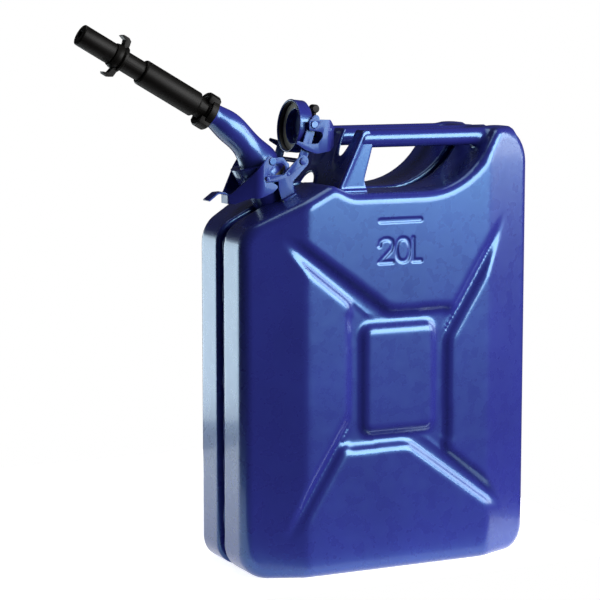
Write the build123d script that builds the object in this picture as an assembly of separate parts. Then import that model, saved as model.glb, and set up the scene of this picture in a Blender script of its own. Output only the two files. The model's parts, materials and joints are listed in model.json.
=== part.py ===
from build123d import *
import os
from math import cos, radians, sin

# Pressed-steel 20 litre fuel can with a bayonet cap on a hinge and a clamped pouring spout.
# Frame: X along the can's length (the neck is at -X), Y across its thickness, Z up.
# The origin is the centre of the can's base. All sizes are in millimetres.

# ---- driving dimensions -------------------------------------------------------------------
CAN_LENGTH = 345.0
CAN_THICKNESS = 165.0
CAN_HEIGHT = 470.0
TOP_HEIGHT = 405.0              # flat top under the handles
SHOULDER_CREST = 415.2          # the shoulder under the neck slopes from here...
SHOULDER_FOOT = 367.2           # ...down to here at the narrow side
SHEET = 1.2                     # wall thickness of the pressed halves
FACE_HALF_LENGTH = 108.7        # where the flat faces turn into the bevels
SIDE_HALF_WIDTH = 56.0          # half thickness of the can at its narrow sides
EDGE_ROUND = 8.0
INNER_EDGE_ROUND = 6.0
CREASE_ROUND = 25.0
CHANNEL_HALF_WIDTH = 8.5        # recess round the rim that protects the weld
CHANNEL_DEPTH = 11.0
FLANGE_HALF_THICKNESS = 1.0
FLANGE_INSET = 4.0              # the weld flange stops this far below the can's outline

PRESS_DEPTH = 7.0               # depth of the pressed cross in the large faces
PRESS_CENTRE_Z = 207.5
PANEL_HALF_LENGTH = 46.0
PANEL_HALF_HEIGHT = 60.5
MARK_DEPTH = 0.7

HANDLE_RADIUS = 9.5
HANDLE_WALL = 1.2
HANDLE_HEIGHT = CAN_HEIGHT - HANDLE_RADIUS
HANDLE_SPACING = 50.0
BRACKET_FOOT = Vector(-60.9, 0, 405.0)
BRACKET_LEAN = 25.6
BRACKET_SHEET = 2.0

NECK_TILT = 32.0                # the neck leans this far from vertical, towards -X
NECK_RIM = Vector(-120.9, 0, 418.3)
NECK_RADIUS = 24.0
NECK_WALL = 1.5
NECK_DEPTH = 40.0

CAP_HINGE = Vector(-90.6, 0, 437.4)
CAP_OPEN_ANGLE = 128.0
CAP_RADIUS = 28.0
CAP_HEIGHT = 11.0
SKIRT_DROP = 4.5                # the cap's skirt reaches this far below the neck's rim
CAP_LEVER_PIVOT = Vector(-78.5, 0, 475.8)
RIVET_RADIUS = 3.0
HINGE_PIN_RADIUS = 2.5
RUNNING_GAP = 0.06              # radial clearance of a pin in its hole

INNER_PLATE_Y = 28.6            # inside face of the cap's and the spout's own ears
BRACKET_PLATE_Y = 30.7          # inside face of the neck bracket's ears
LEVER_PLATE_Y = 33.0            # inside face of the lever side plates
PLATE = 1.6

SPOUT_LEVER_PIVOT = Vector(-127.0, 0, 438.6)
LOCK_PIN = Vector(-132.6, 0, 420.6)
REAR_PIN = Vector(-107.5, 0, 424.5)
LOCK_PIN_RADIUS = 2.2

NOZZLE_ANGLE = 30.0             # the nozzle rises this far from horizontal
NOZZLE_BASE = Vector(-182.0, 0, 487.6)
SPOUT_FOOT = Vector(-122.4, 0, 426.8)
TUBE_RADIUS = 12.8
TUBE_WALL = 1.2
TUBE_TAPER = ((0, 18.6), (0.3, 17.2), (0.6, 15.8), (0.84, 14.6), (0.93, 13.1), (1, TUBE_RADIUS))
COLLAR_RADIUS = 26.0
NOZZLE_LENGTH = 165.7           # from the lock ring's back face to the tip
SLIDE_TRAVEL = 12.0             # how far the hook collar pushes back to open the valve
CROSS_PIN_AT = 112.0
VENT_OFFSET = 4.4
VENT_RADIUS = 2.0

# ---- frames and small helpers ----------------------------------------------------------------
neck_axis = Vector(-sin(radians(NECK_TILT)), 0, cos(radians(NECK_TILT)))
neck_plane = Plane(origin=NECK_RIM, x_dir=(cos(radians(NECK_TILT)), 0, sin(radians(NECK_TILT))),
                   z_dir=neck_axis)
nozzle_axis = Vector(-cos(radians(NOZZLE_ANGLE)), 0, sin(radians(NOZZLE_ANGLE)))
nozzle_plane = Plane(origin=NOZZLE_BASE, x_dir=(sin(radians(NOZZLE_ANGLE)), 0, cos(radians(NOZZLE_ANGLE))),
                     z_dir=nozzle_axis)

bracket_plane = Plane(origin=BRACKET_FOOT, x_dir=(0, -1, 0),
                      z_dir=(-cos(radians(BRACKET_LEAN)), 0, sin(radians(BRACKET_LEAN))))


def side_plane(y):
    """The XZ plane at a distance y towards the front; sketches are drawn in (X, Z)."""
    return Plane.XZ.offset(y)


def slab(sketch, y_from, y_to):
    """A sketch in (X, Z), extruded between two distances towards the front."""
    return extrude(side_plane(y_from) * sketch, amount=y_to - y_from)


def on_neck(out, up):
    """A point on the can's middle plane: out from the neck's axis, up from its rim."""
    return neck_plane.from_local_coords(Vector(out, 0, up))


def both_sides(shape):
    """The shape and its mirror image behind the can's middle plane, as separate solids."""
    return Compound(children=[shape, mirror(shape, about=Plane.XZ)])


def bar(start, end, width):
    """A flat bar with round ends between two (X, Z) points."""
    run = Vector(end[0] - start[0], end[1] - start[1])
    middle = ((start[0] + end[0]) / 2, (start[1] + end[1]) / 2)
    turn = Vector(1, 0).get_signed_angle(run, Vector(0, 0, 1))
    return Pos(*middle) * Rot(0, 0, turn) * SlotCenterToCenter(run.length, width)


def dot(point, radius):
    """A disc at the X and Z of a point."""
    return Pos(point.X, point.Z) * Circle(radius)


def rounded_polygon(points, radii):
    """A polygon in (X, Z) with one corner radius for each point."""
    return make_face(FilletPolyline(*points, radius=radii, close=True))


def ring(plane, outer, inner, start, end):
    """A tube round a plane's normal, from one height to another."""
    return plane * Pos(0, 0, start) * extrude(Circle(outer) - Circle(inner), amount=end - start)


def disc(plane, radius, start, end):
    """A solid round bar along a plane's normal."""
    return plane * Pos(0, 0, start) * extrude(Circle(radius), amount=end - start)


def turned(plane, *profile):
    """A solid turned round a plane's normal from (radius, height) points."""
    return plane * revolve(Plane.XZ * make_face(Polyline(*profile, close=True)), axis=Axis.Z)


def pin_across(centre, radius, half_length):
    """A pin along Y, centred on the can's middle plane."""
    return Pos(centre) * Rot(90, 0, 0) * Cylinder(radius, 2 * half_length)


def opened(shape):
    """Turn a shape of the closed cap to where the open cap stands."""
    return shape.rotate(Axis(CAP_HINGE, (0, 1, 0)), CAP_OPEN_ANGLE)


def closed(point):
    """Where a point of the open cap lies when the cap is shut."""
    return CAP_HINGE + (point - CAP_HINGE).rotate(Axis.Y, -CAP_OPEN_ANGLE)


def bent_sheet(plan, profile, thickness):
    """A sheet that follows a line seen from above and is trimmed to an outline seen from the front."""
    strip = offset(plan, amount=thickness / 2, side=Side.BOTH)
    wall = Pos(0, 0, 380) * extrude(make_face(strip), amount=120)
    return wall & slab(profile, -60, 60)


# ---- can body ------------------------------------------------------------------------------
def can_outline(inset):
    """The can's outline in (X, Z), with the sloping shoulder under the neck and the hump at the back."""
    half = CAN_LENGTH / 2
    points = [(-half, 0), (half, 0), (half, CAN_HEIGHT), (122, CAN_HEIGHT), (76, TOP_HEIGHT), (-56, TOP_HEIGHT),
              (-78, SHOULDER_CREST), (-half, SHOULDER_FOOT)]
    radii = [27, 27, 40, 12, 90, 30, 12, 32]
    face = rounded_polygon(points, radii)
    return offset(face, amount=-inset) if inset else face


def bevel_wedge(inset):
    """The corner that the bevel takes off the front right of the can, seen from above."""
    run = Vector(CAN_LENGTH / 2 - FACE_HALF_LENGTH, -(CAN_THICKNESS / 2 - SIDE_HALF_WIDTH)).normalized()
    normal = Vector(-run.Y, run.X)
    crease = Vector(FACE_HALF_LENGTH, CAN_THICKNESS / 2) - normal * inset
    near, far = crease - run * 60, crease + run * 140
    triangle = make_face(Polyline((near.X, near.Y), (far.X, far.Y), (far.X, near.Y + 80), (near.X, near.Y + 80),
                                  close=True))
    return Pos(0, 0, -10) * extrude(triangle, amount=CAN_HEIGHT + 20)


def is_face_seam(edge):
    """True for the tangent lines that the crease rounding leaves across the large faces."""
    box = edge.bounding_box()
    return box.size.X < 0.01 and box.size.Z > 100 and abs(edge.center().X) < CAN_LENGTH / 2 - 1


def can_block(inset):
    """The can without its pressings: outline, bevels and rounded edges."""
    half = CAN_THICKNESS / 2 - inset
    block = slab(can_outline(inset), -half, half)
    wedge = bevel_wedge(inset)
    wedge += mirror(wedge, about=Plane.XZ)
    block -= wedge + mirror(wedge, about=Plane.YZ)
    creases = [e for e in block.edges().filter_by(Axis.Z)
               if abs(abs(e.center().X) - FACE_HALF_LENGTH) < 3 and abs(e.center().Y) > half - 2]
    block = fillet(creases, CREASE_ROUND - inset)
    rims = [e for e in block.edges() if abs(e.center().Y) > 20 and not is_face_seam(e)]
    return fillet(rims, INNER_EDGE_ROUND if inset else EDGE_ROUND)


def channel(inset):
    """The recess that runs round the can's rim on its middle plane."""
    width = CHANNEL_HALF_WIDTH + inset
    return slab(offset(can_outline(0), amount=5) - can_outline(CHANNEL_DEPTH + inset), -width, width)


# The pressed cross is the union of these convex areas, in (X, Z) about its centre. It looks the same
# upside down, so each one is also used turned half round.
CROSS_ARM_LEFT = [(-150, 159.7), (-150, 168.0), (0, 58.8), (0, 41.2)]
CROSS_ARM_RIGHT = [(150, 199.1), (150, 190.0), (30, -2.1), (30, 4.8)]
CROSS_CORNER_LEFT = [(-54.5, 84.3), (-32.3, 66.8), (-54.5, 40)]
CROSS_CORNER_RIGHT = [(30, 66.8), (68.3, 66.8), (54.5, 44.4)]
CROSS_MIDDLE = [(-54.5, 66.8), (54.5, 66.8), (54.5, -66.8), (-54.5, -66.8)]


def leaning_prism(points, floor_y, height, grow):
    """A recess with walls at 45 degrees over a floor of the given corners, widened by grow."""
    floor = make_face(Polyline(*points, close=True))
    foot, mouth = (offset(floor, amount=grow + rise, kind=Kind.INTERSECTION) if grow + rise else floor
                   for rise in (0, height))
    return loft([side_plane(floor_y) * foot, side_plane(floor_y + height) * mouth])


def panel(shrink, round_off):
    """The raised panel in the middle of the cross, at its foot."""
    size = (2 * (PANEL_HALF_LENGTH - shrink), 2 * (PANEL_HALF_HEIGHT - shrink))
    return Pos(0, PRESS_CENTRE_Z) * RectangleRounded(*size, round_off - shrink)


def cross_cutter(inset):
    """What the pressing takes out of the front face, or out of the hollow behind it when inset is the sheet."""
    floor_y = CAN_THICKNESS / 2 - PRESS_DEPTH - inset
    corner = 0.41 * inset       # keeps the sheet's thickness on walls that lean at 45 degrees
    height = PRESS_DEPTH + inset + 3
    areas = [CROSS_MIDDLE]
    for area in (CROSS_ARM_LEFT, CROSS_ARM_RIGHT, CROSS_CORNER_LEFT, CROSS_CORNER_RIGHT):
        areas += [area, [(-x, -z) for x, z in area]]
    cross = Part()
    for area in areas:
        cross += leaning_prism(area, floor_y, height, corner)
    raised = extrude(side_plane(floor_y) * panel(inset - corner, 14), amount=PRESS_DEPTH, taper=45)
    cross = Pos(0, 0, PRESS_CENTRE_Z) * cross
    return cross - raised


def neck_bore(radius):
    """The space the filler neck takes out of the shells."""
    return disc(neck_plane, radius, -NECK_DEPTH, 30)


def can_body():
    """The pressed can, hollow, as one closed skin before it is parted along its middle plane."""
    front, hollow_front = cross_cutter(0), cross_cutter(SHEET)
    outside = can_block(0) - front - front.rotate(Axis.Z, 180) - channel(0)
    hollow = can_block(SHEET) - hollow_front - hollow_front.rotate(Axis.Z, 180) - channel(SHEET)
    return outside, outside - hollow - neck_bore(NECK_RADIUS)


def marks():
    """The capacity mark: a level bar over a generic 20 L, sunk into the front face."""
    stroke = 4.2
    low, high = 331.0, 358.5
    middle = (low + high) / 2
    shapes = bar((-23, 376.2), (23, 376.2), 5.5)
    two = [(-25, high - 8), (-25, high - 2), (-21, high), (-13, high), (-9, high - 3), (-9, middle + 1),
           (-25, low), (-9, low)]
    zero = [(-3, low + 3), (-3, high - 3), (0, high), (6, high), (9, high - 3), (9, low + 3), (6, low), (0, low),
            (-3, low + 3)]
    letter = [(15, high), (15, low), (25, low)]
    for line in (two, zero, letter):
        for start, end in zip(line, line[1:]):
            shapes += bar(start, end, stroke)
    return slab(shapes, CAN_THICKNESS / 2 - MARK_DEPTH, CAN_THICKNESS / 2 + 5)


def seam_flange():
    """The two halves' flanges, welded together on the middle plane inside the channel."""
    fin = can_outline(FLANGE_INSET) - can_outline(CHANNEL_DEPTH + SHEET)
    return slab(fin, -FLANGE_HALF_THICKNESS, FLANGE_HALF_THICKNESS) - neck_bore(NECK_RADIUS)


# ---- neck, bracket and handles -----------------------------------------------------------------
def filler_neck():
    """A short tube with a rolled rim."""
    tube = ring(neck_plane, NECK_RADIUS, NECK_RADIUS - NECK_WALL, -NECK_DEPTH, 0)
    roll = neck_plane * Pos(0, 0, -1.8) * Torus(NECK_RADIUS, 1.8)
    return tube + (roll - ring(neck_plane, NECK_RADIUS - NECK_WALL, 0.1, -6, 3))


def breather_tube():
    """The air pipe from the neck to the air space in the hump."""
    pipe = 4.0
    out = NECK_RADIUS - NECK_WALL - pipe - 1
    mouth, turn = on_neck(out, -5), on_neck(out, -50)
    path = FilletPolyline((mouth.X, 0, mouth.Z), (turn.X, 0, turn.Z), (68, 0, 372), (128, 0, 424), radius=[10, 26])
    section = Plane(origin=path @ 0, z_dir=path % 0) * (Circle(pipe) - Circle(pipe - 0.8))
    return sweep(section, path=path)


def neck_bracket():
    """Two ears on feet, welded to the shoulder: they carry the cap's hinge and the lock pins."""
    y0, y1 = BRACKET_PLATE_Y, BRACKET_PLATE_Y + PLATE
    strap = rounded_polygon([(-118.7, 421), (-107.5, 426), (-102.4, 416), (-99, 395), (-113, 390), (-118.7, 408.5)],
                            [3, 3, 8, 2, 2, 8])
    knee = (REAR_PIN.X, REAR_PIN.Z - 4)
    ear = strap + bar(knee, (CAP_HINGE.X, CAP_HINGE.Z), 13) + bar(knee, (LOCK_PIN.X, LOCK_PIN.Z), 7)
    ear -= dot(CAP_HINGE, HINGE_PIN_RADIUS + RUNNING_GAP)
    ear -= dot(LOCK_PIN, LOCK_PIN_RADIUS) + dot(REAR_PIN, LOCK_PIN_RADIUS)
    foot = slab(bar((-114.5, 397), (-102.5, 403.1), 3), y0 + 0.2, y0 + 9)
    return both_sides(slab(ear, y0, y1) + foot)


def lock_pins():
    """Four short pins on the ears: the cams of the cap or the spout pull down on them."""
    reach = LEVER_PLATE_Y + PLATE + 1.5
    pins = []
    for centre, end in ((LOCK_PIN, reach), (REAR_PIN, BRACKET_PLATE_Y + PLATE)):
        pin = slab(dot(centre, LOCK_PIN_RADIUS), BRACKET_PLATE_Y - 1, end)
        pins += [pin, mirror(pin, about=Plane.XZ)]
    return Compound(children=pins)


def cap_hinge_pin():
    """A riveted pin through both ears of the bracket."""
    head_y = BRACKET_PLATE_Y + PLATE
    pin = pin_across(CAP_HINGE, HINGE_PIN_RADIUS, head_y + 0.2)
    for side in (-1, 1):
        pin += Pos(0, side * (head_y + 0.9), 0) * pin_across(CAP_HINGE, HINGE_PIN_RADIUS + 1.3, 0.7)
    return pin


def handle(y, outside):
    """A steel tube from the leaning bracket wall into the hump."""
    tube = Circle(HANDLE_RADIUS) - Circle(HANDLE_RADIUS - HANDLE_WALL)
    bare = Pos(-60, y, HANDLE_HEIGHT) * Rot(0, 90, 0) * extrude(tube, amount=210)
    bare -= bracket_plane * Pos(0, 0, -BRACKET_SHEET) * extrude(Rectangle(300, 300), amount=100)
    return (bare - outside).solids().sort_by(Axis.X)[0]


def bracket_web():
    """The bracket's leaning wall, drawn flat: x across the can, y up the slope from its foot."""
    half, height = 57.0, 70.0
    web = Pos(0, height / 2) * RectangleRounded(2 * half, height, 4)
    for side in (-1, 1):
        web -= Pos(side * HANDLE_SPACING / 2, height + 3) * Ellipse(13, 31)
    return web - Pos(-HANDLE_SPACING / 2, 0) * Ellipse(16.5, 18)


def handle_bracket(outside):
    """A pressed bulkhead that holds the handles' front ends on lobes, with one arch and folded legs."""
    web = bracket_plane * extrude(bracket_web(), amount=-BRACKET_SHEET)
    leg = rounded_polygon([(-60.4, 405.2), (-30.6, 467.5), (-24, 467.5), (-20.9, 453), (-30, 417), (-26.5, 405.2)],
                          [2, 6, 3, 12, 12, 2])
    legs = slab(leg, 55.2, 57.0) + slab(bar((-56, 406.2), (-31, 406.2), 2.4), 50.0, 61.0)
    body = web + legs + mirror(legs, about=Plane.XZ)
    for y in (-HANDLE_SPACING, 0, HANDLE_SPACING):
        tube = Pos(0, y, HANDLE_HEIGHT) * Rot(0, 90, 0) * Cylinder(HANDLE_RADIUS, 200)
        body -= tube - bracket_plane * Pos(0, 0, -BRACKET_SHEET) * extrude(Rectangle(300, 300), amount=100)
    return body - outside


# ---- cap ------------------------------------------------------------------------------------------
def cap_shell():
    """A pressed cup with a rounded crown and a rolled rim."""
    r, t, foot = CAP_RADIUS, 1.4, -SKIRT_DROP
    profile = [(0, CAP_HEIGHT), (r - 3, CAP_HEIGHT), (r, CAP_HEIGHT - 3), (r, foot), (r - t, foot),
               (r - t, CAP_HEIGHT - 3.6), (r - 3.6, CAP_HEIGHT - t), (0, CAP_HEIGHT - t)]
    roll = neck_plane * Pos(0, 0, foot) * Torus(r - 0.7, 1.1)
    return opened(turned(neck_plane, *profile) + roll)


def cap_gasket():
    """The sealing ring in the cap's mouth."""
    outer, inner = CAP_RADIUS - 1.4, CAP_RADIUS - 8.6
    profile = [(inner, 1.2), (outer, 1.2), (outer, 4.9), (inner, 4.9)]
    return opened(turned(neck_plane, *profile))


def gasket_retainer():
    """The pressed cup that holds the gasket in the cap."""
    inner = CAP_RADIUS - 8.6
    profile = [(0, CAP_HEIGHT - 1.4), (inner + 2, CAP_HEIGHT - 1.4), (inner + 2, 4.9), (inner, 4.9), (inner, 0.8),
               (inner - 1, 0.8), (inner - 1, CAP_HEIGHT - 2.5), (0, CAP_HEIGHT - 2.5)]
    return opened(turned(neck_plane, *profile))


def cap_bridge():
    """The strap over the cap's crown, with ears for the lever's rivets and arms to the hinge."""
    y0, y1 = INNER_PLATE_Y, INNER_PLATE_Y + PLATE
    hinge_closed = (CAP_HINGE.X, CAP_HINGE.Z)
    closed_pivot = closed(CAP_LEVER_PIVOT)
    pivot_point = (closed_pivot.X, closed_pivot.Z)
    crown, crown_far = on_neck(4, CAP_HEIGHT + 0.9), on_neck(-10, CAP_HEIGHT + 0.9)
    ear = bar(pivot_point, hinge_closed, 10) + bar(pivot_point, (crown_far.X, crown_far.Z), 8)
    ear -= dot(CAP_HINGE, HINGE_PIN_RADIUS + RUNNING_GAP)
    ear -= dot(closed_pivot, RIVET_RADIUS + RUNNING_GAP)
    strap = slab(bar((crown_far.X, crown_far.Z), (crown.X, crown.Z), 1.8), -y0 - 0.2, y0 + 0.2)
    return opened(both_sides(slab(ear, y0, y1)) + strap)


def lever_rivets(pivot):
    """Two shouldered rivets that the lever's side plates turn on, headed outside the plates."""
    rivets = []
    for side in (1, -1):
        shank = slab(dot(pivot, RIVET_RADIUS), INNER_PLATE_Y + 0.3, LEVER_PLATE_Y + PLATE + 0.3)
        head = slab(dot(pivot, RIVET_RADIUS + 1.2), LEVER_PLATE_Y + PLATE + 0.1, LEVER_PLATE_Y + PLATE + 1.3)
        rivet = shank + fillet(head.edges().sort_by(Axis.Y)[0], 0.9)
        rivets.append(rivet if side == 1 else mirror(rivet, about=Plane.XZ))
    return Compound(children=rivets)


def cap_lever():
    """The cap's bent lever: hooked side plates that turn inwards to a nose."""
    y = LEVER_PLATE_Y + PLATE / 2
    plan = FilletPolyline((-104, -y), (-60, -y), (-46, -14), (-46, 14), (-60, y), (-104, y), radius=[8, 6, 6, 8])
    profile = rounded_polygon(
        [(-84.5, 481.5), (-59, 480.5), (-44, 472), (-44, 453), (-59, 447.5), (-75.6, 445), (-88.2, 449.3),
         (-99.2, 456.2), (-98.2, 459.2), (-84.9, 455.5), (-74.0, 455.7), (-68.1, 463.4), (-70.2, 468),
         (-84.5, 470)],
        [3, 3, 3, 3, 6, 12, 12, 1.0, 1.0, 8, 4, 3, 3, 2])
    return bent_sheet(plan, profile, PLATE) - pin_across(CAP_LEVER_PIVOT, RIVET_RADIUS + RUNNING_GAP, 60)


def safety_catch():
    """The black tongue that locks the shut lever; its button stands above the lever."""
    tongue = slab(bar((-62.5, 462), (-62.5, 489), 2.6), -4, 4)
    button = Pos(-62.0, 0, 491) * Rot(90, 0, 0) * Cylinder(4.6, 10)
    return tongue + fillet(button.edges().filter_by(GeomType.CIRCLE), 1.5)


def catch_guide():
    """The cross strip of the lever that the catch slides in."""
    y = LEVER_PLATE_Y + 0.1
    strip = slab(bar((-66.5, 470), (-58.5, 470), 3), -y, y)
    return strip - slab(Pos(-62.5, 470) * Rectangle(2.6 + 2 * RUNNING_GAP, 10), -4 - RUNNING_GAP, 4 + RUNNING_GAP)


# ---- spout -------------------------------------------------------------------------------------------
def spout_collar():
    """The housing on the neck's rim, cut off at a slant above, that the tube is welded into."""
    top = Plane(origin=(-157, 0, 427.5), x_dir=(53, 0, 13.5), z_dir=(-13.5, 0, 53))
    block = disc(neck_plane, COLLAR_RADIUS, 4.2, 40) - top * extrude(Rectangle(200, 200), amount=80)
    return block - disc(neck_plane, 16.5, 4, 9.5) - spout_skin(0) - tube_end(0)


def spout_gasket():
    """The seal between the collar and the neck's rim."""
    return ring(neck_plane, 25.5, 19, 0, 4.2)


def spout_skin(thin):
    """The tube's outside, or its bore when thin is the wall: one long bend that tapers towards the nozzle."""
    run = TangentArc((NOZZLE_BASE.X, NOZZLE_BASE.Z), (SPOUT_FOOT.X, SPOUT_FOOT.Z),
                     tangent=(-nozzle_axis.X, -nozzle_axis.Z))
    path = side_plane(0) * run
    rings = [Plane(origin=path @ (1 - along), z_dir=(path % (1 - along)) * -1) * Circle(radius - thin)
             for along, radius in TUBE_TAPER]
    return loft(rings)


def tube_end(thin):
    """The straight end of the tube that the nozzle plugs into."""
    return disc(nozzle_plane, TUBE_RADIUS - thin, -0.01, 7)


def spout_tube():
    """The steel tube, with a bead behind the nozzle's ring."""
    bead = nozzle_plane * Pos(0, 0, -1.4) * Torus(TUBE_RADIUS - 0.2, 1.3)
    return spout_skin(0) + tube_end(0) + bead - spout_skin(TUBE_WALL) - tube_end(TUBE_WALL)


def spout_hooks():
    """Two arched side plates on the collar: they carry the lever and hook over the rear pins."""
    y0, y1 = INNER_PLATE_Y, INNER_PLATE_Y + PLATE
    pivot = (SPOUT_LEVER_PIVOT.X, SPOUT_LEVER_PIVOT.Z)
    crown, shoulder, tip = (-114.0, 439.2), (-107.9, 434.0), (-107.6, 429.5)
    arch = bar(pivot, crown, 6) + bar(crown, shoulder, 4.6) + bar(shoulder, tip, 4.6)
    arch += bar(pivot, (-138, 429.5), 8)
    arch -= dot(SPOUT_LEVER_PIVOT, RIVET_RADIUS)
    tie = slab(bar((-133, 428), (-125, 432), 6), 20, INNER_PLATE_Y + 0.1) - disc(neck_plane, COLLAR_RADIUS, -5, 40)
    return both_sides(slab(arch, y0, y1) + tie)


def spout_lever():
    """The spout's clamping lever: notched side plates that turn inwards to a nose with a finger tab."""
    y = LEVER_PLATE_Y + PLATE / 2
    plan = FilletPolyline((-112, -y), (-141, -y), (-166, -9), (-166, 9), (-141, y), (-112, y),
                          radius=[12, 5, 5, 12])
    profile = rounded_polygon(
        [(-131.5, 445.0), (-119.6, 440.0), (-132.5, 424.8), (-136.6, 421.8), (-134.9, 416.6), (-127.0, 416.6),
         (-119.7, 411.8), (-126.5, 405.9), (-142.3, 399.6), (-147.7, 400.5), (-161.5, 393.5), (-168, 393.5),
         (-168, 403.5), (-164.5, 403.5), (-147.7, 423.3)],
        [4.5, 4.5, 1, 1.5, 1.5, 1, 2, 5, 10, 6, 3, 1, 1, 1.5, 20])
    plates = bent_sheet(plan, profile, PLATE)
    tab_line = FilletPolyline((-165.6, 402.4), (-170.0, 405.2), (-177.5, 404.8), (-187.2, 397.6), radius=[3, 5])
    tab = slab(make_face(offset(tab_line, amount=PLATE / 2, side=Side.BOTH)), -8, 8)
    return plates + tab - pin_across(SPOUT_LEVER_PIVOT, RIVET_RADIUS + RUNNING_GAP, 60)


def lock_ring():
    """The ring at the nozzle's foot, with one wide grip lobe above and one below."""
    bore = TUBE_RADIUS + RUNNING_GAP
    body = turned(nozzle_plane, (bore, 0), (18.3, 0), (19.5, 1.4), (19.5, 11), (18.4, 12.6), (14.3, 12.6), (14.3, 7),
                  (bore, 7))
    keep = Box(50, 24, 60) + Cylinder(16.4, 15)
    return body & nozzle_plane * keep


def nozzle_body():
    """The plastic grip sleeve: a plug in the tube's end, a flange that keeps the lock ring on, a deep bore."""
    plug, bore = TUBE_RADIUS - TUBE_WALL - 0.02, 10.9
    profile = [(6.2, 1), (plug, 1), (plug, 7.1), (13.6, 7.1), (13.6, 8.8), (11.2, 9.6), (11.2, 19.4), (13.7, 20.8),
               (13.7, 88.5), (12.5, 90.1), (bore, 90.1), (bore, 44), (8.3, 44), (8.3, 39.9), (6.2, 39.9)]
    vent = nozzle_plane * Pos(VENT_OFFSET, 0, 0) * Cylinder(VENT_RADIUS, 400)
    return turned(nozzle_plane, *profile) - vent


def nozzle_core():
    """The inner tube from the grip sleeve to the tip, slotted for the valve's cross pin."""
    slot = Pos(0, 0, CROSS_PIN_AT - SLIDE_TRAVEL / 2) * Box(3.4, 30, SLIDE_TRAVEL + 3.6)
    return ring(nozzle_plane, 8.3, 6.5, 39.9, NOZZLE_LENGTH - 22) - nozzle_plane * slot


def nozzle_tip():
    """The tip that goes into the tank, with the valve's seat inside its mouth."""
    top = NOZZLE_LENGTH
    profile = [(8.3, top - 39.4), (10.9, top - 39.4), (11.5, top - 38.4), (11.5, top - 1), (10.7, top), (4.2, top),
               (4.2, top - 5), (6.4, top - 8), (6.4, top - 22), (8.3, top - 22)]
    return turned(nozzle_plane, *profile)


def hook_collar():
    """The sliding sleeve with two hooked lugs that catch on the tank's filler."""
    inner = 8.3 + RUNNING_GAP
    profile = [(inner, 66.4), (10.75, 66.4), (10.75, 112), (14.2, 113.5), (14.2, 116), (12.2, 117.5), (13.6, 119),
               (13.6, 122), (12.4, 126), (inner, 126)]
    lug = Polygon((9.5, 113.5), (20.5, 115.5), (22.6, 119), (22.6, 125.5), (20.8, 127), (19.0, 121.5), (9.5, 119),
                  align=None)
    lug = extrude(Plane.XZ * lug, amount=5, both=True) - Cylinder(9.6, 400)
    sleeve = turned(nozzle_plane, *profile) + nozzle_plane * lug + nozzle_plane * Rot(0, 0, 180) * lug
    return sleeve - valve_cross_pin()


def valve_cross_pin():
    """The pin that ties the hook collar to the valve stem through the core's slots."""
    return nozzle_plane * Pos(0, 0, CROSS_PIN_AT) * Rot(90, 0, 0) * Cylinder(1.5, 20)


def valve_stem():
    """The valve: a stem and a head that closes the tip from inside."""
    nose = NOZZLE_LENGTH - 4.2
    profile = [(0, CROSS_PIN_AT - 6), (2.6, CROSS_PIN_AT - 6), (2.6, nose - 10), (5.6, nose - 7), (5.6, nose - 5.1),
               (4.3, nose - 5.1), (4.3, nose - 2.7), (4.9, nose - 2.7), (3.4, nose), (0, nose)]
    return turned(nozzle_plane, *profile) - valve_cross_pin()


def valve_o_ring():
    """The seal on the valve's head."""
    return nozzle_plane * Pos(0, 0, NOZZLE_LENGTH - 4.2 - 3.9) * Torus(5.1, 0.8)


def valve_spring():
    """The coil spring behind the hook collar, drawn at its shortest length."""
    helix = Helix(pitch=2.9, height=8.5, radius=9.65)
    wire = sweep(Plane(origin=helix @ 0, z_dir=helix % 0) * Circle(0.6), path=helix)
    return nozzle_plane * Pos(0, 0, 44.7) * wire


def vent_tube():
    """The thin air tube along the nozzle's bore."""
    pipe = Circle(VENT_RADIUS) - Circle(VENT_RADIUS - 0.7)
    return nozzle_plane * Pos(VENT_OFFSET, 0, 3) * extrude(pipe, amount=87)


def build_parts():
    """Every sub-part by its node name."""
    outside, skin = can_body()
    skin -= marks()
    halves = Pos(0, 100 + FLANGE_HALF_THICKNESS, 235) * Box(400, 200, 500)
    return {
        "front_shell": skin & mirror(halves, about=Plane.XZ),
        "rear_shell": skin & halves,
        "seam_flange": seam_flange(),
        "filler_neck": filler_neck(),
        "breather_tube": breather_tube(),
        "neck_bracket": neck_bracket() - outside - disc(neck_plane, NECK_RADIUS + 1.8, -60, 3),
        "lock_pins": lock_pins(),
        "cap_hinge_pin": cap_hinge_pin(),
        "handle_front": handle(-HANDLE_SPACING, outside),
        "handle_middle": handle(0, outside) - seam_flange(),
        "handle_rear": handle(HANDLE_SPACING, outside),
        "handle_bracket": handle_bracket(outside),
        "cap_shell": cap_shell(),
        "cap_gasket": cap_gasket(),
        "gasket_retainer": gasket_retainer(),
        "cap_bridge": cap_bridge(),
        "cap_lever": cap_lever() + catch_guide(),
        "cap_lever_rivets": lever_rivets(CAP_LEVER_PIVOT),
        "safety_catch": safety_catch(),
        "spout_collar": spout_collar(),
        "spout_gasket": spout_gasket(),
        "spout_tube": spout_tube(),
        "spout_hooks": spout_hooks(),
        "spout_lever": spout_lever(),
        "spout_lever_rivets": lever_rivets(SPOUT_LEVER_PIVOT),
        "lock_ring": lock_ring(),
        "nozzle_body": nozzle_body(),
        "nozzle_core": nozzle_core(),
        "nozzle_tip": nozzle_tip(),
        "hook_collar": hook_collar(),
        "valve_cross_pin": valve_cross_pin(),
        "valve_stem": valve_stem(),
        "valve_o_ring": valve_o_ring(),
        "valve_spring": valve_spring(),
        "vent_tube": vent_tube(),
    }


os.makedirs("parts", exist_ok=True)
for node, shape in build_parts().items():
    export_step(shape, f"parts/{node}.step")
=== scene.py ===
import json
from math import atan2, cos, pi, radians, sin

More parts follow.
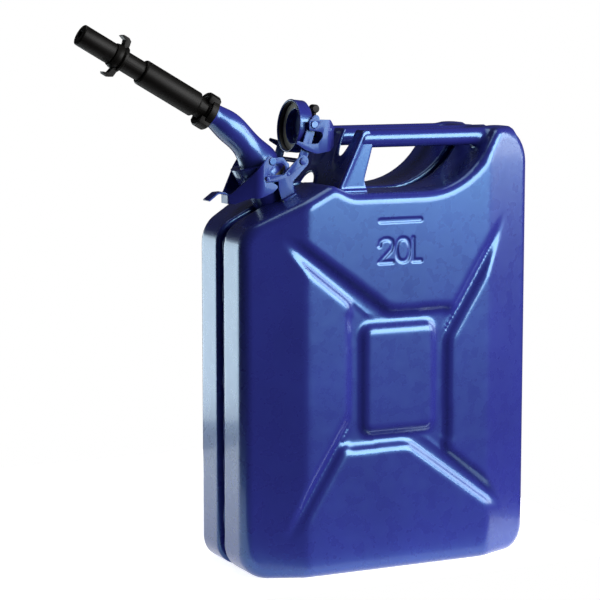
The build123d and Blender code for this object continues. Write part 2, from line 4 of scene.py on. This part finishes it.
import bmesh
import bpy
import numpy as np
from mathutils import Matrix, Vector

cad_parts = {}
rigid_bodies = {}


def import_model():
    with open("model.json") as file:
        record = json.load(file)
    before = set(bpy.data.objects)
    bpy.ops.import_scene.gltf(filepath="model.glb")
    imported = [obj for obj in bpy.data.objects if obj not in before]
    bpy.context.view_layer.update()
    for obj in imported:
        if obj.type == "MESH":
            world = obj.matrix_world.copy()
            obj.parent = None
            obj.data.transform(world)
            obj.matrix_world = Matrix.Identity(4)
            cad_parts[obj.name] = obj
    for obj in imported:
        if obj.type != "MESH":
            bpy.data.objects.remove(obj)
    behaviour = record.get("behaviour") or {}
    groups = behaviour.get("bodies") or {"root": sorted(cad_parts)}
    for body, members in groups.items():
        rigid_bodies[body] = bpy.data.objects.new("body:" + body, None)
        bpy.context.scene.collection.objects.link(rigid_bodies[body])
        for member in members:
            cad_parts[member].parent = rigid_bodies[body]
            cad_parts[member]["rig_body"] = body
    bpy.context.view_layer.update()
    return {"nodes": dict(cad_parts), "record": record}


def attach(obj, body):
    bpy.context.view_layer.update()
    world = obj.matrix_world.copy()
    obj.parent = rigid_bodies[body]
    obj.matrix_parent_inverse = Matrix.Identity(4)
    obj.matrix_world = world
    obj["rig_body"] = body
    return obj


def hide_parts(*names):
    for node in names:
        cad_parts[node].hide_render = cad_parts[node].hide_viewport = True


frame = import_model()
MM = 0.001
FULL_TURN = 2 * pi
FAR_OFF = 1e9                   # further away than any outline

# ---- sizes of the object, in millimetres, in the frame's axes --------------------------------
CAN_LENGTH, CAN_THICKNESS, CAN_HEIGHT, TOP_HEIGHT = 345.0, 165.0, 470.0, 405.0
FACE_HALF_LENGTH = 108.7        # the flat front face ends here and the bevels begin
SIDE_HALF_WIDTH = 56.0          # the narrow sides are twice this wide
CHANNEL_HALF_WIDTH, CHANNEL_DEPTH = 8.5, 11.0
PRESS_DEPTH, PRESS_CENTRE_Z = 7.0, 207.5
HANDLE_RADIUS, HANDLE_HEIGHT, HANDLE_SPACING = 9.5, 460.5, 50.0
HANDLE_END = 150.0              # the bars stop here, inside the hump
HUMP_FRONT, DIP_BACK, DIP_FRONT, CREST_AT = 122.0, 76.0, -56.0, -78.0
SHOULDER_CREST, SHOULDER_FOOT = 415.2, 367.2
MARK_DEPTH, MARK_EDGE = 0.9, 1.4
BAR_PEN, LETTER_PEN = 4.8, 4.0
BRACKET_FOOT, BRACKET_LEAN = np.array((-60.9, 0.0, 405.0)), radians(25.6)
WEB_HALF_WIDTH, WEB_HEIGHT, SHEET_HALF, RIM_STEP = 57.5, 72.0, 1.3, 1.2
VALLEY_HALF_WIDTH, VALLEY_DEPTH, ARCH_HALF_WIDTH, ARCH_HEIGHT = 13.0, 33.0, 16.5, 18.0
LEG_OFFSET, LEG_HALF, NOTCH_AT = 56.5, 1.2, -42.0
CAP_GASKET_PLANE, CAP_LEAN = (-87.0, 0.0, 473.0), radians(6.0)      # the open cap's crown leans down
# the painted shade band inside the open cap's skirt: its radii and its depths along the cap's axis
SHADE_BAND_RADII, SHADE_BAND_DEPTH = (26.3, 26.55), (-3.6, 1.15)


# ---- distance fields: negative inside, in millimetres ------------------------------------------
def round_max(a, b, radius):
    """The overlap of two shapes, with the edge between them rounded to a radius."""
    corner = np.hypot(np.maximum(a + radius, 0), np.maximum(b + radius, 0))
    return np.minimum(-radius, np.maximum(a, b)) + corner


def soft_max(a, b, width):
    """The overlap of two shapes with a soft edge."""
    h = np.maximum(width - np.abs(a - b), 0) / width
    return np.maximum(a, b) + h * h * width / 4


def soft_min(a, b, width):
    """Two shapes joined with a soft fillet between them."""
    return -soft_max(-a, -b, width)


def ellipse_field(across, up, half_width, half_height):
    """About the distance from an ellipse."""
    return (np.hypot(across / half_width, up / half_height) - 1) * half_width


def outline_field(x, z, corners):
    """Signed distance from a closed outline of straight runs."""
    shape = np.broadcast(x, z).shape
    nearest, inside = np.full(shape, FAR_OFF), np.zeros(shape, bool)
    for (ax, az), (bx, bz) in zip(corners, np.roll(corners, -1, axis=0)):
        ex, ez = bx - ax, bz - az
        t = np.clip(((x - ax) * ex + (z - az) * ez) / (ex * ex + ez * ez), 0, 1)
        nearest = np.minimum(nearest, np.hypot(x - ax - t * ex, z - az - t * ez))
        if az != bz:
            inside ^= ((az > z) != (bz > z)) & (x < ex * (z - az) / ez + ax)
    return np.where(inside, -nearest, nearest)


def rounded(corners, radii, arc_step=radians(6)):
    """An outline with an arc of its own radius at each corner."""
    corners = np.array(corners, float)
    line = []
    for before, corner, after, radius in zip(np.roll(corners, 1, 0), corners, np.roll(corners, -1, 0), radii):
        u, v = before - corner, after - corner
        u, v = u / np.hypot(*u), v / np.hypot(*v)
        half = np.arccos(np.clip(u @ v, -1, 1)) / 2
        middle = (u + v) / np.hypot(*(u + v))
        centre = corner + middle * radius / sin(half)
        sweep, side = pi / 2 - half, np.sign(v[0] * u[1] - v[1] * u[0])
        facing = atan2(*(-middle[::-1]))
        for turn in np.linspace(-sweep, sweep, max(2, round(2 * sweep / arc_step))):
            line.append(centre + radius * np.array((cos(facing + side * turn), sin(facing + side * turn))))
    return np.array(line)


def stroke_field(x, z, line, width):
    """Distance from a line drawn with a round pen."""
    nearest = np.full(np.broadcast(x, z).shape, FAR_OFF)
    for (ax, az), (bx, bz) in zip(line, line[1:]):
        ex, ez = bx - ax, bz - az
        t = np.clip(((x - ax) * ex + (z - az) * ez) / (ex * ex + ez * ez), 0, 1)
        nearest = np.minimum(nearest, np.hypot(x - ax - t * ex, z - az - t * ez))
    return nearest - width / 2


def added(name, data):
    """A new object in the scene."""
    piece = bpy.data.objects.new(name, data)
    bpy.context.scene.collection.objects.link(piece)
    return piece


def net(name, values, axes):
    """A closed mesh on the zero level of a sampled field, with one vertex in each crossed cell."""
    points, rings = [], []
    for axis in range(3):
        first = np.take(values, range(values.shape[axis] - 1), axis)
        last = np.take(values, range(1, values.shape[axis]), axis)
        at = np.argwhere((first < 0) != (last < 0))
        a, b = first[tuple(at.T)], last[tuple(at.T)]
        point = np.stack([axes[n][at[:, n]] for n in range(3)], 1)
        point[:, axis] += a / (a - b) * (axes[axis][at[:, axis] + 1] - axes[axis][at[:, axis]])
        u, v = (axis + 1) % 3, (axis + 2) % 3
        ring = []
        for du, dv in ((0, 0), (-1, 0), (-1, -1), (0, -1)):
            cell = at.copy()
            cell[:, u] += du
            cell[:, v] += dv
            ring.append(np.ravel_multi_index(cell.T, values.shape))
        ring = np.stack(ring, 1)
        ring[a >= 0] = ring[a >= 0][:, ::-1]
        points.append(point)
        rings.append(ring)
    points, rings = np.concatenate(points), np.concatenate(rings)
    _, corner = np.unique(rings, return_inverse=True)
    corner = corner.reshape(rings.shape)
    count = np.bincount(corner.ravel())
    verts = np.stack([np.bincount(corner.ravel(), np.repeat(points[:, n], 4)) / count for n in range(3)], 1)
    mesh = bpy.data.meshes.new(name)
    mesh.from_pydata((verts * MM).tolist(), [], corner.tolist())
    mesh.validate()
    mesh.shade_smooth()
    return added(name, mesh)


def sampled(name, field, low, high, step):
    """The mesh of a field over a box, on an even grid."""
    axes = [np.arange(a, b + step, step) for a, b in zip(low, high)]
    x, y, z = np.meshgrid(*axes, indexing="ij", sparse=True)
    return net(name, np.broadcast_to(field(x, y, z), [len(a) for a in axes]), axes)


def finer(low, high, step, fine_low, fine_high, fine_step):
    """Grid lines that lie closer together over one stretch."""
    return np.unique(np.round(np.concatenate([
        np.arange(low, fine_low, step), np.arange(fine_low, fine_high, fine_step),
        np.arange(fine_high, high + step, step)]), 3))


# ---- the can's skin ----------------------------------------------------------------------------
def can_outline():
    """The can seen from the front, with the sloping shoulder under the neck and the hump at the back."""
    half = CAN_LENGTH / 2
    corners = [(-half, 0), (half, 0), (half, CAN_HEIGHT), (HUMP_FRONT, CAN_HEIGHT), (DIP_BACK, TOP_HEIGHT),
               (DIP_FRONT, TOP_HEIGHT), (CREST_AT, SHOULDER_CREST), (-half, SHOULDER_FOOT)]
    return rounded(corners, [27, 27, 40, 12, 90, 30, 12, 32])


def can_plan():
    """The bevels seen from above; they run on past the narrow sides, where the outline takes over."""
    half, beyond = CAN_LENGTH / 2, 26
    drop = beyond * (CAN_THICKNESS / 2 - SIDE_HALF_WIDTH) / (half - FACE_HALF_LENGTH)
    quarter = [(half + beyond, SIDE_HALF_WIDTH - drop), (FACE_HALF_LENGTH, CAN_THICKNESS / 2)]
    corners = quarter + [(-x, y) for x, y in quarter[::-1]]
    corners += [(-x, -y) for x, y in corners]
    return rounded(corners, [2, 25, 25, 2] * 2)


WALL_SLOPE = 0.7071             # the pressed walls lie at 45 degrees
# the floor of the pressed cross, as areas about its centre that each repeat after a half turn
CROSS_AREAS = [
    [(-150, 159.7), (-150, 168.0), (0, 58.8), (0, 41.2)],
    [(150, 199.1), (150, 190.0), (30, -2.1), (30, 4.8)],
    [(-54.5, 84.3), (-32.3, 66.8), (-54.5, 40)],
    [(30, 66.8), (68.3, 66.8), (54.5, 44.4)],
    [(-54.5, 66.8), (54.5, 66.8), (54.5, -66.8), (-54.5, -66.8)]]
PANEL = rounded([(-46, -60.5), (46, -60.5), (46, 60.5), (-46, 60.5)], [14] * 4)


def press_field(x, y, z):
    """What the pressed cross takes out of one face; y counts outwards."""
    z = z - PRESS_CENTRE_Z
    floor = np.full(np.broadcast(x, z).shape, FAR_OFF)
    for area in CROSS_AREAS:
        for turn in (1, -1):
            floor = soft_min(floor, outline_field(turn * x, turn * z, area), 5)
    rise = y - (CAN_THICKNESS / 2 - PRESS_DEPTH)
    cross = soft_max((floor - rise) * WALL_SLOPE, -rise, 3.5)
    return soft_max(cross, -(outline_field(x, z, PANEL) + rise) * WALL_SLOPE, 3.5)


def marks_field(x, z):
    """The capacity mark: a level bar over a generic 20 L."""
    low, high = 332.3, 356.6
    middle = (low + high) / 2
    two = [(-25.7, high - 7), (-24.3, high - 2.2), (-20, high), (-15, high), (-10.8, high - 2.4),
           (-10.2, high - 7), (-12, middle + 0.5), (-25.7, low), (-10, low)]
    turn = np.linspace(0, FULL_TURN, 25)
    sideways = np.sign(np.cos(turn)) * np.abs(np.cos(turn)) ** 0.8
    zero = np.stack([2.6 + 8 * sideways, middle + (high - low) / 2 * np.sin(turn)], 1)
    letter = [(14.8, high), (14.8, low), (24, low)]
    field = stroke_field(x, z, [(-24.4, 376), (23.3, 376)], BAR_PEN)
    for line in (two, zero, letter):
        field = np.minimum(field, stroke_field(x, z, line, LETTER_PEN))
    return field


def handles_field(x, y, z):
    """The three bars, from the bracket into the hump."""
    field = FAR_OFF
    for side in (-HANDLE_SPACING, 0, HANDLE_SPACING):
        bar = np.hypot(y - side, z - HANDLE_HEIGHT) - HANDLE_RADIUS
        field = np.minimum(field, bar)
    along, up = x - BRACKET_FOOT[0], z - BRACKET_FOOT[2]
    behind = -(along * cos(BRACKET_LEAN) - up * sin(BRACKET_LEAN)) + 0.5
    return np.maximum(np.maximum(field, behind), x - HANDLE_END)


def can_skin():
    """The two pressed halves and the three bars as one skin, sampled finer over the capacity mark."""
    xs = finer(-176, 176, 2, -30, 29, 0.8)
    ys = np.arange(-86, 87, 2.0)
    zs = finer(-4, 474, 2, 328, 382, 0.8)
    x, y, z = np.meshgrid(xs, ys, zs, indexing="ij", sparse=True)
    side = outline_field(x, z, can_outline())
    plan = outline_field(x, y, can_plan())
    block = round_max(side, plan, 10)
    press = np.where(y < 0, press_field(x, -y, z), press_field(-x, y, z))
    skin = soft_max(block, -press, 4)
    sunk = MARK_DEPTH * np.clip(0.5 - marks_field(x, z) / MARK_EDGE, 0, 1)
    on_front_face = y < -70
    skin = skin + np.where(on_front_face, sunk, 0)
    channel = round_max(np.abs(y) - CHANNEL_HALF_WIDTH, -(side + CHANNEL_DEPTH), 2)
    skin = round_max(skin, -channel, 2.5)
    skin = soft_min(skin, handles_field(x, y, z), 7)
    return net("can_skin", skin, [xs, ys, zs])


def seam():
    """The welded flange in the channel, slightly wavy from the weld."""
    xs, zs, ys = np.arange(-172, 173, 2.0), np.arange(0, 472, 2.0), np.arange(-3.2, 3.3, 0.4)
    x, y, z = np.meshgrid(xs, ys, zs, indexing="ij", sparse=True)
    side = outline_field(x, z, can_outline())
    wave = 0.55 * np.sin(0.21 * (x + z)) + 0.25 * np.sin(0.083 * (x - z) + 1)
    fin = round_max(np.abs(y - wave) - 1.2, side + 4 + 0.4 * np.sin(0.13 * (x + z)), 1)
    return net("seam", np.maximum(fin, -(side + 14)), [xs, ys, zs])


def handle_bracket():
    """The leaning bulkhead: a pressed sheet with lobes at the bars, an arch at its foot and folded legs."""
    def field(x, y, z):
        along, up = x - BRACKET_FOOT[0], z - BRACKET_FOOT[2]
        ahead = -along * cos(BRACKET_LEAN) + up * sin(BRACKET_LEAN)
        rise = along * sin(BRACKET_LEAN) + up * cos(BRACKET_LEAN)
        across = np.abs(y)
        web = round_max(across - WEB_HALF_WIDTH, rise - WEB_HEIGHT, 8)
        valley = ellipse_field(across - HANDLE_SPACING / 2, rise - 74, VALLEY_HALF_WIDTH, VALLEY_DEPTH)
        arch = ellipse_field(y - HANDLE_SPACING / 2, rise, ARCH_HALF_WIDTH, ARCH_HEIGHT)
        web = soft_max(soft_max(web, -valley, 3), -arch, 3)
        rim = np.clip((-web - 4.0) / 3.0, 0, 1)
        sheet = np.abs(ahead + SHEET_HALF - RIM_STEP * (1 - rim)) - SHEET_HALF
        face = soft_max(sheet, web, 1.5)
        leg_outline = [(-61.5, 404), (-31.0, 470.5), (-24, 469), (-20.9, 453), (-31, 417), (-26.5, 404)]
        leg = outline_field(x, z, rounded(leg_outline, [2, 6, 3, 12, 12, 2]))
        notch = np.where(y > 0, ellipse_field(x - NOTCH_AT, z - 404, 10, 21), 50)
        legs = round_max(np.abs(across - LEG_OFFSET) - LEG_HALF, round_max(leg, -notch, 1), 0.8)
        lip_section = np.hypot(np.maximum(np.abs(x + 43.5) - 13, 0), z - 405.6) - 2
        lip = round_max(np.abs(across - WEB_HALF_WIDTH) - 3.5, lip_section, 1)
        whole = soft_min(soft_min(face, legs, 3.5), lip, 3)
        return np.maximum(whole, 404.0 - z)
    return sampled("handle_bulkhead", field, (-66, -63, 402), (-18, 63, 474), 1.0)


def cap_painted_shade_band():
    """A painted shade: a black band inside the open cap's skirt, from its mouth to the gasket, standing in
    for the shade there.
    """
    (mouth, seat), (inner, outer) = SHADE_BAND_DEPTH, SHADE_BAND_RADII
    axis = np.array([cos(CAP_LEAN), 0, -sin(CAP_LEAN)])
    upright = np.array([sin(CAP_LEAN), 0, cos(CAP_LEAN)])
    turns = np.linspace(0, FULL_TURN, 96, endpoint=False)
    spokes = np.array([(0, sin(turn), 0) + cos(turn) * upright for turn in turns])
    rings = [np.array(CAP_GASKET_PLANE) + axis * depth + radius * spokes
             for depth, radius in ((mouth, inner), (mouth, outer), (seat, outer), (seat, inner))]

    def corner(ring, spoke):
        return ring % len(rings) * len(spokes) + spoke % len(spokes)

    faces = [(corner(k, n), corner(k, n + 1), corner(k + 1, n + 1), corner(k + 1, n))
             for k in range(len(rings)) for n in range(len(spokes))]
    mesh = bpy.data.meshes.new("cap_painted_shade_band")
    mesh.from_pydata((np.concatenate(rings) * MM).tolist(), [], faces)
    mesh.shade_smooth()
    return added("cap_painted_shade_band", mesh)


# ---- CAD pieces with softened edges -----------------------------------------------------------
def softened(node, width, slot):
    """The CAD piece with its sharp edges rounded off."""
    work = bmesh.new()
    work.from_mesh(frame["nodes"][node].data)
    bmesh.ops.remove_doubles(work, verts=work.verts, dist=1e-6)
    bmesh.ops.dissolve_limit(work, angle_limit=radians(0.5), verts=work.verts, edges=work.edges)
    mesh = bpy.data.meshes.new(node + "_look")
    work.to_mesh(mesh)
    work.free()
    mesh.shade_smooth()
    piece = added(node + "_look", mesh)
    round_off = piece.modifiers.new("edges", "BEVEL")
    round_off.width, round_off.segments = width * MM, 3
    round_off.limit_method, round_off.angle_limit = "ANGLE", radians(32)
    round_off.harden_normals = True
    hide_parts(node)
    place(piece, frame["nodes"][node]["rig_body"], slot)
    return piece


# ---- materials ----------------------------------------------------------------------------------
def new_material(name):
    """A material with its nodes, its links and its surface shader."""
    material = bpy.data.materials.new(name)
    material.use_nodes = True
    tree = material.node_tree
    return material, tree.nodes, tree.links, tree.nodes["Principled BSDF"]


def noise(nodes, links, scale, detail):
    """Noise that is fixed to the object's own coordinates."""
    where = nodes.new("ShaderNodeTexCoord")
    texture = nodes.new("ShaderNodeTexNoise")
    texture.inputs["Scale"].default_value = scale
    texture.inputs["Detail"].default_value = detail
    links.new(where.outputs["Object"], texture.inputs["Vector"])
    return texture


def ramp(nodes, links, texture, socket, low, high):
    """Drives a socket from one colour to another over a noise; low and high are (noise value, colour)."""
    colours = nodes.new("ShaderNodeValToRGB")
    for element, (position, colour) in zip(colours.color_ramp.elements, (low, high)):
        element.position, element.color = position, (*colour, 1)
    links.new(texture.outputs["Fac"], colours.inputs["Fac"])
    links.new(colours.outputs["Color"], socket)


def gloss(nodes, links, texture, surface, roughness, spread):
    """Roughness that varies a little about its middle value."""
    low, high = (0.3, (roughness - spread,) * 3), (0.7, (roughness + spread,) * 3)
    ramp(nodes, links, texture, surface.inputs["Roughness"], low, high)


def bump(nodes, links, texture, surface, strength, distance):
    """Fine relief in the surface's normal."""
    node = nodes.new("ShaderNodeBump")
    node.inputs["Strength"].default_value = strength
    node.inputs["Distance"].default_value = distance
    links.new(texture.outputs["Fac"], node.inputs["Height"])
    links.new(node.outputs["Normal"], surface.inputs["Normal"])


def enamel(name, roughness, shine, coat):
    """Deep royal blue enamel with orange peel and faint mottling."""
    material, nodes, links, surface = new_material(name)
    mottle, cloud, peel = (noise(nodes, links, *size) for size in ((9.0, 5.0), (60.0, 4.0), (420.0, 2.0)))
    ramp(nodes, links, mottle, surface.inputs["Base Color"],
         (0.3, (0.013, 0.014, 0.125)), (0.7, (0.016, 0.018, 0.155)))
    gloss(nodes, links, cloud, surface, roughness, 0.03)
    bump(nodes, links, peel, surface, 0.08, 0.0004)
    surface.inputs["Specular IOR Level"].default_value = shine
    surface.inputs["Specular Tint"].default_value = (0.25, 0.62, 1.0, 1)
    surface.inputs["Coat Weight"].default_value = coat
    surface.inputs["Coat Roughness"].default_value = 0.08
    return material


def plain(name, colour, roughness, grain, strength, shine=0.5, metallic=0.0):
    """A mottled, finely grained surface."""
    material, nodes, links, surface = new_material(name)
    mottle, fine = noise(nodes, links, 30.0, 4.0), noise(nodes, links, grain, 2.0)
    darker = tuple(c * 0.75 for c in colour)
    ramp(nodes, links, mottle, surface.inputs["Base Color"], (0.35, darker), (0.65, colour))
    gloss(nodes, links, fine, surface, roughness, 0.05)
    bump(nodes, links, fine, surface, strength, 0.0003)
    surface.inputs["Specular IOR Level"].default_value = shine
    surface.inputs["Metallic"].default_value = metallic
    return material


HARDWARE_ENAMEL = enamel("blue_enamel_hardware", 0.36, 0.4, 0.1)
MATERIALS = {
    "blue_enamel": enamel("blue_enamel", 0.28, 0.9, 0.25),
    "olive_rubber": plain("olive_rubber", (0.52, 0.53, 0.43), 0.6, 900, 0.15),
    "black_rubber": plain("black_rubber", (0.015, 0.015, 0.016), 0.6, 900, 0.15),
    "black_steel": plain("black_steel", (0.002, 0.002, 0.003), 0.4, 600, 0.1, 0.12),
    "black_plastic": plain("black_plastic", (0.002, 0.0017, 0.0015), 0.48, 1400, 0.12, 0.1),
    "bright_steel": plain("bright_steel", (0.6, 0.6, 0.62), 0.25, 1200, 0.1, 0.5, 1.0)}


def place(piece, body, slot):
    """The piece's material, chosen by its slot, and the body it moves with."""
    piece.data.materials.clear()
    piece.data.materials.append(MATERIALS[slot])
    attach(piece, body)


# ---- assembly -----------------------------------------------------------------------------------
skin = can_skin()
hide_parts("front_shell", "rear_shell", "handle_front", "handle_middle", "handle_rear")
place(skin, "can", "blue_enamel")
flange = seam()
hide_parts("seam_flange")
place(flange, "can", "blue_enamel")
bulkhead = handle_bracket()
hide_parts("handle_bracket")
place(bulkhead, "can", "blue_enamel")
# painted shade: a black band inside the open cap's skirt stands in for the shade there
place(cap_painted_shade_band(), "cap", "black_rubber")

SLOTS = {part["node"]: part["material_slot"] for part in frame["record"]["subparts"]}
SOFT_EDGES = {
    "neck_bracket": 0.4, "lock_pins": 0.3, "cap_hinge_pin": 0.3, "cap_shell": 1.2, "cap_gasket": 0.6,
    "gasket_retainer": 0.5, "cap_bridge": 0.5, "cap_lever": 0.5, "safety_catch": 0.4, "spout_collar": 1.5,
    "spout_gasket": 0.6, "spout_hooks": 0.5, "spout_lever": 0.5, "lock_ring": 0.8, "nozzle_body": 0.8,
    "nozzle_tip": 0.6, "hook_collar": 0.8}
HARDWARE = ("neck_bracket", "lock_pins", "cap_hinge_pin", "cap_bridge", "cap_lever", "spout_hooks",
            "spout_lever")
for node, width in SOFT_EDGES.items():
    part = softened(node, width, SLOTS[node])
    if node in HARDWARE:
        part.data.materials[0] = HARDWARE_ENAMEL
for node, piece in frame["nodes"].items():
    if not piece.hide_render:
        piece.data.materials.clear()
        piece.data.materials.append(MATERIALS[SLOTS[node]])

# ---- floor, light and camera -----------------------------------------------------------------------
FLOOR_X, FLOOR_Y = (-0.6, 0.3), (-0.13, 0.6)     # metres
(left, right), (near, far) = FLOOR_X, FLOOR_Y
floor_mesh = bpy.data.meshes.new("floor")
floor_corners = [(left, near, 0), (right, near, 0), (right, far, 0), (left, far, 0)]
floor_mesh.from_pydata(floor_corners, [], [(0, 1, 2, 3)])
floor = added("floor", floor_mesh)
floor_paint, _, _, floor_surface = new_material("pale_floor")
floor_surface.inputs["Base Color"].default_value = (0.93, 0.93, 0.93, 1)
floor_surface.inputs["Roughness"].default_value = 0.9
floor_surface.inputs["Emission Color"].default_value = (1, 1, 1, 1)
floor_surface.inputs["Emission Strength"].default_value = 0.85
floor_mesh.materials.append(floor_paint)


def soft_light(name, position, target, size, power, colour=(1, 1, 1)):
    """A rectangular lamp that faces its target."""
    lamp = bpy.data.lights.new(name, "AREA")
    lamp.shape, lamp.size, lamp.size_y = "RECTANGLE", *size
    lamp.energy, lamp.color = power, colour
    light = added(name, lamp)
    light.location = position
    light.rotation_euler = (Vector(target) - Vector(position)).to_track_quat("-Z", "Y").to_euler()


soft_light("right_front", (1.1, -1.85, 1.0), (0, 0, 0.35), (1.9, 1.4), 122)
soft_light("right", (1.75, -0.65, 0.85), (0.1, 0, 0.35), (0.8, 1.1), 22)
soft_light("left_back", (-0.52, 0.72, 0.23), (-0.17, 0, 0.23), (0.6, 0.44), 3.2, (0.86, 0.97, 1))
soft_light("top", (-0.3, 0.3, 2.3), (-0.05, 0, 0.25), (1.2, 1.2), 12)

# the camera sees a white backdrop, while the surfaces see a dim one
world = bpy.data.worlds.new("studio")
world.use_nodes = True
sky, sky_links = world.node_tree.nodes, world.node_tree.links
backdrop = sky.new("ShaderNodeBackground")
backdrop.inputs["Color"].default_value, backdrop.inputs["Strength"].default_value = (1, 1, 1, 1), 1.0
sky["Background"].inputs["Color"].default_value = (1, 1, 1, 1)
sky["Background"].inputs["Strength"].default_value = 0.04
seen, mix = sky.new("ShaderNodeLightPath"), sky.new("ShaderNodeMixShader")
sky_links.new(seen.outputs["Is Camera Ray"], mix.inputs["Fac"])
sky_links.new(sky["Background"].outputs["Background"], mix.inputs[1])
sky_links.new(backdrop.outputs["Background"], mix.inputs[2])
sky_links.new(mix.outputs["Shader"], sky["World Output"].inputs["Surface"])
bpy.context.scene.world = world
bpy.context.scene.view_settings.view_transform = "Standard"

VIEW_AZIMUTH, VIEW_PITCH, VIEW_DISTANCE = radians(25.85), radians(7.4535), 2.30379
VIEW_TARGET = Vector((-0.07848, 0, 0.285933))
forward = Vector((sin(VIEW_AZIMUTH) * cos(VIEW_PITCH), cos(VIEW_AZIMUTH) * cos(VIEW_PITCH), -sin(VIEW_PITCH)))
camera = added("camera", bpy.data.cameras.new("camera"))
camera.data.sensor_width, camera.data.lens = 36.0, 128.39
camera.location = VIEW_TARGET - forward * VIEW_DISTANCE
camera.rotation_euler = forward.to_track_quat("-Z", "Y").to_euler()
bpy.context.scene.camera = camera
